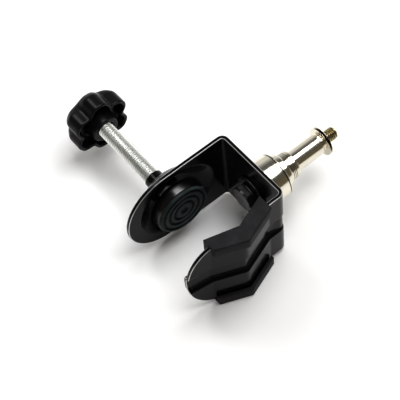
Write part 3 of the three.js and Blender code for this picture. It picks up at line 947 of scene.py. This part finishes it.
def make_pad_cup():
    """Enamelled cup: its outside, lip and recess as a profile, closed by the arc of the ball's socket."""
    rear = CUP_LOW[0]
    face = RUBBER_HIGH[0]
    rim = CUP_HIGH[2]
    recess = RUBBER_RADIUS + 0.1
    angle = np.linspace(math.pi / 2, math.pi - math.asin(SOCKET_MOUTH / SOCKET_RADIUS), 14)
    socket = np.stack([SOCKET_RADIUS * np.sin(angle), BALL_X + SOCKET_RADIUS * np.cos(angle)], -1)
    outside = rounded([
        (SOCKET_MOUTH, rear + 0.4),
        (SOCKET_MOUTH + 0.3, rear, 0.2),
        (9, rear, 0.6),
        (11, rear + 1.2, 1.2),
        (rim - 2, rear + 2.2, 2.2),
        (rim, rear + 4.5, 2.2),
        (RUBBER_RADIUS + 0.55, face - 2.4, 0.4),
        (recess, face - 2.2, 0.2),
        (recess, RETAINER_FLOOR, 0.4),
        (SOCKET_RADIUS, RETAINER_FLOOR),
    ], 6)
    cup = turned("pad_cup_enamelled", np.vstack([outside, socket]), "X", 128, closed_loop=True)
    dress(cup, "black_enamel", "pad", ["pad_cup"])


def make_pad_rubber():
    """Rubber disc with ring grooves and a dimple in its face. It is painted with shade that deepens with the
    depth below the face.
    """
    back = RUBBER_LOW[0]
    face = RUBBER_HIGH[0]
    rim = RUBBER_RADIUS - 0.35
    corners = [(0, back + PAD_HOLLOW), (7.6, back + PAD_HOLLOW, 0.5), (9.6, back, 0.5), (rim, back, 0.4),
               (rim, face, 1.3)]
    for ring in PAD_RINGS:
        corners += [(ring + 1.25, face, 0.35), (ring + 0.65, face - RING_DEPTH, 0.4),
                    (ring - 0.65, face - RING_DEPTH, 0.4), (ring - 1.25, face, 0.35)]
    corners += [(3.6, face, 0.6), (2.4, face - DIMPLE_DEPTH, 0.8), (0, face - DIMPLE_DEPTH)]
    profile = rounded(corners, 4)
    # painted shade in the grooves and dimple, deeper below the face
    painted_sunk_shade = smoothstep((face - profile[:, 1] - 0.15) / 0.7) * (profile[:, 0] < rim - 0.5)
    rubber = turned("pad_rubber_moulding", profile, "X", 128, 60, dark=painted_sunk_shade)
    dress(rubber, "pad_rubber", "pad", ["pad_rubber"])


# ---------------------------------------------------------------- spigot


BOSS_BORE = 11.2
SPIGOT_BORE = 5.25  # for the bolt
SPIGOT_BORE_END = 30.6
SPIGOT_TAIL = 10.85  # radius inside the boss
SHOULDER_RADIUS = 12.4
SHOULDER_END = 24
COLLAR_RADIUS = 10.4
COLLAR_RINGS = (26.2, 27.5, 28.8)
COLLAR_END = 32
BODY_RADIUS = 7.94
BODY_END = 55.3
WAIST_RADIUS = 6.4
FLANGE_RADIUS = 11
STUD_BORE = 5.05
STUD_BORE_END = 49.6
STUD_THREAD_DEPTH = 0.95


def make_boss():
    """Sleeve round the spigot's tail, with a fine ring groove near its end, painted dark as shade."""
    low, high = local_box("spigot_boss")
    rim = high[0]
    groove = (high[1] - 1.35, 0.7, rim, 0.6)
    start = (BOSS_BORE, low[1] + 0.5)
    profile = rounded([start, (BOSS_BORE + 0.5, low[1], 0.2), (rim, low[1], 0.7), *ring_groove(*groove),
                       (rim, high[1], 0.7), (BOSS_BORE + 0.5, high[1], 0.2), (BOSS_BORE, high[1] - 0.5),
                       start])
    boss = turned("spigot_boss_turned", profile, "Y", 144, dark=in_grooves(profile, [groove]))
    dress(boss, "nickel", "frame", ["spigot_boss"])


def make_spigot():
    """Spigot: one profile from the bolt's bore round the tail, shoulder, collar, body, waist and flange to
    the stud's bore. Its ring grooves are painted dark as shade."""
    seat = local_box("spigot_boss")[1][1] + TOUCH
    end = SPIGOT_HIGH[1]
    rings = [(station, 0.45, COLLAR_RADIUS, 0.3) for station in COLLAR_RINGS]
    band = (end - 1.1, 1.7, FLANGE_RADIUS, 2.4)
    corners = [
        (0, SPIGOT_BORE_END),
        (SPIGOT_BORE, SPIGOT_BORE_END),
        (SPIGOT_BORE, 1.4),
        (SPIGOT_BORE + 0.55, 1, 0.2),
        (SPIGOT_TAIL, 1, 0.3),
        (SPIGOT_TAIL, seat),
        (SHOULDER_RADIUS, seat, 0.3),
        (SHOULDER_RADIUS, SHOULDER_END, 0.9),
        (COLLAR_RADIUS, SHOULDER_END + 0.6, 0.5),
    ]
    for ring in rings:
        corners += ring_groove(*ring)
    corners += [
        (COLLAR_RADIUS, COLLAR_END, 0.8),
        (BODY_RADIUS, COLLAR_END + 0.4, 0.5),
        (BODY_RADIUS, BODY_END, 0.6),
        (WAIST_RADIUS, BODY_END + 0.6, 0.4),
        (WAIST_RADIUS, BODY_END + 2.5, 0.4),
        (FLANGE_RADIUS, end - 2.2, 0.15),
        *ring_groove(*band),
        (FLANGE_RADIUS, end, 0.15),
        (STUD_BORE, end),
        (STUD_BORE, STUD_BORE_END),
        (0, STUD_BORE_END),
    ]
    profile = rounded(corners)
    spigot = turned("spigot_turned", profile, "Y", 144, 30, dark=in_grooves(profile, [*rings, band]))
    dress(spigot, "nickel", "frame", ["spigot"])


def make_stud(sizes):
    """Threaded end: a chamfered cylinder cut by a right-hand thread from its root to its tip."""
    radius = STUD_HIGH[0]
    tip = STUD_HIGH[1]
    root = STUD_LOW[1]
    pitch = sizes.stud_pitch / MM
    side = np.array([(radius, root), (radius, tip - 1.2), (radius - 1.1, tip)])
    fine = with_stations(side, root + 0.05, tip - 0.05, pitch / 12)
    profile = np.vstack([[0, root], fine, [0, tip]])
    stud = threaded("threaded_stud_cut", profile, "Y", pitch, STUD_THREAD_DEPTH, root + 0.2, tip + 0.6, 80)
    dress(stud, "brass", "frame", ["threaded_stud"])


# ---------------------------------------------------------------- bolt


HEAD_DEPTH = 4.8
HEAD_BLANK = 12  # radius of the round blank that the hexagon is cut from
SHANK_RADIUS = 4.9
BOLT_SEGMENTS = 180
SPRING_THICKNESS = 1.3
SPRING_BORE = 5.4
SPRING_RIM = 9.0
SPRING_GAP = 0.16  # half the split, as an angle
SPRING_STEPS = 90


def make_bolt():
    """Hexagon bolt: its radius at the head is the lesser of a turned profile and a hexagon, whose radius is
    half its width over the cosine of the angle from the nearest flat."""
    low, high = local_box("spigot_bolt")
    head_face = low[1]
    seat = head_face + HEAD_DEPTH
    profile = np.array([
        (0, head_face + 0.25),
        (7.4, head_face + 0.2),
        (8.4, head_face),
        (8.7, head_face),
        (10.6, head_face + 0.9),
        (HEAD_BLANK, head_face + 1.6),
        (HEAD_BLANK, seat - 0.3),
        (9, seat),
        (SHANK_RADIUS, seat),
        (SHANK_RADIUS, high[1] - 0.8),
        (SHANK_RADIUS - 0.7, high[1]),
        (0, high[1]),
    ])
    on_head = (profile[:, 0] > 8.5) & (profile[:, 1] < seat - 0.2)
    angle = np.linspace(0, 2 * np.pi, BOLT_SEGMENTS, endpoint=False)[:, None]
    to_flat = (angle + np.pi / 6) % (np.pi / 3) - np.pi / 6
    hexagon = high[2] / np.cos(to_flat)
    radius = np.where(on_head, np.minimum(profile[:, 0], hexagon), profile[:, 0])
    points = around("Y", radius, profile[None, :, 1], angle + np.pi / 2)
    bolt = mesh_piece("spigot_bolt_hexagon", points, grid_faces(BOLT_SEGMENTS, len(profile), True), 25)
    dress(bolt, "black_bolt", "frame", ["spigot_bolt"])


def make_flat_washer():
    """Flat washer under the spring washer."""
    bore = 5.4
    low, high = local_box("bolt_flat_washer")
    start = (bore, low[1] + 0.3)
    profile = rounded([start, (bore + 0.2, low[1], 0.2), (high[0], low[1], 0.5), (high[0], high[1], 0.4),
                       (bore + 0.2, high[1], 0.2), (bore, high[1] - 0.3), start])
    washer = turned("bolt_washer_turned", profile, "Y", 96)
    dress(washer, "black_bolt", "frame", ["bolt_flat_washer"])


def make_spring_washer():
    """Split ring: a rounded oblong section carried most of the way round while it rises along the axis."""
    low, high = local_box("bolt_spring_washer")
    rise = high[1] - low[1] - SPRING_THICKNESS
    start = (SPRING_BORE, SPRING_THICKNESS / 2)
    corners = [(SPRING_BORE, 0, 0.25), (SPRING_RIM, 0, 0.25), (SPRING_RIM, SPRING_THICKNESS, 0.25),
               (SPRING_BORE, SPRING_THICKNESS, 0.25)]
    section = rounded([start, *corners, start], 3)[:-1]
    turn = np.linspace(SPRING_GAP, 2 * np.pi - SPRING_GAP, SPRING_STEPS)[:, None]
    way = np.linspace(0, 1, SPRING_STEPS)[:, None]
    points = around("Y", section[None, :, 0], section[None, :, 1] + low[1] + rise * way, turn)
    ring = mesh_piece("spring_washer_split", points, swept_faces(SPRING_STEPS, len(section)))
    dress(ring, "black_bolt", "frame", ["bolt_spring_washer"])


# ---------------------------------------------------------------- stage


LIGHT_AIM = (0.0, -0.03, 0.03)
CAMERA_AZIMUTH, CAMERA_ELEVATION, CAMERA_ROLL = 57.279, 58.022, -7.492  # degrees
CAMERA_TARGET = (-18.47, -33.88, 0.36)
CAMERA_DISTANCE = 0.9
CAMERA_LENS = 119.57
FLOOR_REACH = 2500
FAR_SIDE = (-0.84, 0.54, 0)  # level direction away from the camera
NEAR_GLOW = (0.19, 0.16, 0.10, 1)
FAR_GLOW = (0.9, 0.9, 0.88, 1)
OVERHEAD = (0.13, 0.13, 0.13, 1)


def area_light(name, place, aim, size, power):
    """A soft rectangular light at a place, in metres, pointed at an aim."""
    data = bpy.data.lights.new(name, "AREA")
    data.shape = "RECTANGLE"
    data.size, data.size_y = size
    data.energy = power
    light = bpy.data.objects.new(name, data)
    light.location = place
    light.rotation_mode = "QUATERNION"
    light.rotation_quaternion = (Vector(aim) - Vector(place)).to_track_quat("-Z", "Y")
    bpy.context.scene.collection.objects.link(light)


def make_camera():
    """A long lens that looks down at the clamp from its open side, rolled a little."""
    azimuth = math.radians(CAMERA_AZIMUTH)
    elevation = math.radians(CAMERA_ELEVATION)
    roll = math.radians(CAMERA_ROLL)
    back = Vector((math.sin(azimuth) * math.cos(elevation), -math.cos(azimuth) * math.cos(elevation),
                   math.sin(elevation)))
    level = Vector((math.cos(azimuth), math.sin(azimuth), 0))
    upright = back.cross(level)
    right = math.cos(roll) * level + math.sin(roll) * upright
    up = -math.sin(roll) * level + math.cos(roll) * upright
    target = Vector((np.array(CAMERA_TARGET) + ORIGIN) * MM)
    data = bpy.data.cameras.new("camera")
    data.lens = CAMERA_LENS
    data.sensor_width = 36
    camera = bpy.data.objects.new("camera", data)
    basis = Matrix((right, up, back)).transposed().to_4x4()
    camera.matrix_world = Matrix.Translation(target + back * CAMERA_DISTANCE) @ basis
    bpy.context.scene.collection.objects.link(camera)
    bpy.context.scene.camera = camera


def make_world():
    """A dim surround: grey overhead, brown at the camera's side of the horizon and white at the far side."""
    world = bpy.data.worlds.new("surround")
    world.use_nodes = True
    bpy.context.scene.world = world
    background = world.node_tree.nodes["Background"]
    tree = Signal(world.node_tree)
    direction = tree.node("ShaderNodeTexCoord", output="Generated")
    height = tree.node("ShaderNodeSeparateXYZ", None, {0: direction}, 2)
    away = tree.node("ShaderNodeVectorMath", {"operation": "DOT_PRODUCT"}, {0: direction, 1: FAR_SIDE}, 1)
    horizon = blended(tree, span(away, 0.2, 0.8), NEAR_GLOW, FAR_GLOW)
    tint = blended(tree, span(height, 0.8, 0.2), OVERHEAD, horizon)
    world.node_tree.links.new(tint.socket, background.inputs["Color"])


def make_stage():
    """The pale floor, the surround, two soft lights, the camera and how bright the picture is."""
    corners = np.array([[-1, -1], [1, -1], [1, 1], [-1, 1]]) * FLOOR_REACH
    places = np.concatenate([corners, np.full((4, 1), -ORIGIN[2])], 1)
    floor = mesh_piece("floor", places, [[0, 1, 2, 3]], closed=False)
    floor.data.materials.append(material("floor_paper"))
    make_world()
    area_light("key_light", (0.1, 0.25, 1.1), LIGHT_AIM, (0.8, 0.8), 13)
    area_light("left_light", (-0.62, -0.12, 1.0), (0.0, -0.03, 0.0), (0.4, 0.5), 4)
    make_camera()
    view = bpy.context.scene.view_settings
    view.view_transform = "Standard"
    view.gamma = 0.8


# ---------------------------------------------------------------- operators and panel


class ClampOperator:
    """What the clamp's operators share: they build with the scene's sizes, and a failure is an error."""

    bl_options = {"REGISTER", "UNDO"}

    def execute(self, context):
        self.build(context.scene.clamp_sizes)
        return {"FINISHED"}


class CLAMP_OT_strap(ClampOperator, bpy.types.Operator):
    """Makes the bent steel strap with its dish, channel and rounded ends"""

    bl_idname = "clamp.strap"
    bl_label = "Steel Strap"

    def build(self, sizes):
        make_strap(sizes)


class CLAMP_OT_liner(ClampOperator, bpy.types.Operator):
    """Makes the moulded rubber liner of the V jaw"""

    bl_idname = "clamp.liner"
    bl_label = "Jaw Liner"

    def build(self, sizes):
        make_liner(sizes)


class CLAMP_OT_screw(ClampOperator, bpy.types.Operator):
    """Makes the bush, the threaded clamp screw and its thrust washer"""

    bl_idname = "clamp.screw"
    bl_label = "Clamp Screw"

    def build(self, sizes):
        make_bush()
        make_screw(sizes)
        make_thrust_washer()


class CLAMP_OT_knob(ClampOperator, bpy.types.Operator):
    """Makes the lobed knob, its cap and the finish of its insert"""

    bl_idname = "clamp.knob"
    bl_label = "Knob"

    def build(self, sizes):
        make_knob(sizes)
        make_knob_cap()
        dress(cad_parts["knob_insert"], "zinc_steel")


class CLAMP_OT_pad(ClampOperator, bpy.types.Operator):
    """Makes the swivel pad's cup and rubber, and the finish of its ball retainer"""

    bl_idname = "clamp.pad"
    bl_label = "Swivel Pad"

    def build(self, sizes):
        make_pad_cup()
        make_pad_rubber()
        dress(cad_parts["ball_retainer"], "zinc_steel")


class CLAMP_OT_spigot(ClampOperator, bpy.types.Operator):
    """Makes the boss, the spigot and its threaded end"""

    bl_idname = "clamp.spigot"
    bl_label = "Spigot"

    def build(self, sizes):
        make_boss()
        make_spigot()
        make_stud(sizes)


class CLAMP_OT_bolt(ClampOperator, bpy.types.Operator):
    """Makes the hexagon bolt that holds the spigot, and its two washers"""

    bl_idname = "clamp.bolt"
    bl_label = "Spigot Bolt"

    def build(self, sizes):
        make_bolt()
        make_flat_washer()
        make_spring_washer()


class CLAMP_OT_stage(ClampOperator, bpy.types.Operator):
    """Makes the pale floor, the soft lights and the camera"""

    bl_idname = "clamp.stage"
    bl_label = "Stage"

    def build(self, sizes):
        make_stage()


OPERATORS = (CLAMP_OT_strap, CLAMP_OT_liner, CLAMP_OT_screw, CLAMP_OT_knob, CLAMP_OT_pad, CLAMP_OT_spigot,
             CLAMP_OT_bolt, CLAMP_OT_stage)


class CLAMP_PT_panel(bpy.types.Panel):
    """Lists the clamp's pieces, sizes and colours"""

    bl_label = "Clamp"
    bl_idname = "CLAMP_PT_panel"
    bl_space_type = "VIEW_3D"
    bl_region_type = "UI"
    bl_category = "Clamp"

    def draw(self, context):
        column = self.layout.column()
        for operator in OPERATORS:
            column.operator(operator.bl_idname)
        for group in (context.scene.clamp_sizes, context.scene.clamp_colours):
            for name in group.__annotations__:
                column.prop(group, name)


CLASSES = (ClampSizes, ClampColours, *OPERATORS, CLAMP_PT_panel)


def register():
    for item in CLASSES:
        bpy.utils.register_class(item)
    bpy.types.Scene.clamp_sizes = PointerProperty(type=ClampSizes)
    bpy.types.Scene.clamp_colours = PointerProperty(type=ClampColours)


def unregister():
    del bpy.types.Scene.clamp_colours
    del bpy.types.Scene.clamp_sizes
    for item in reversed(CLASSES):
        bpy.utils.unregister_class(item)


def main():
    register()
    for operator in OPERATORS:
        group, name = operator.bl_idname.split(".")
        getattr(getattr(bpy.ops, group), name)()


if __name__ == "__main__":
    main()
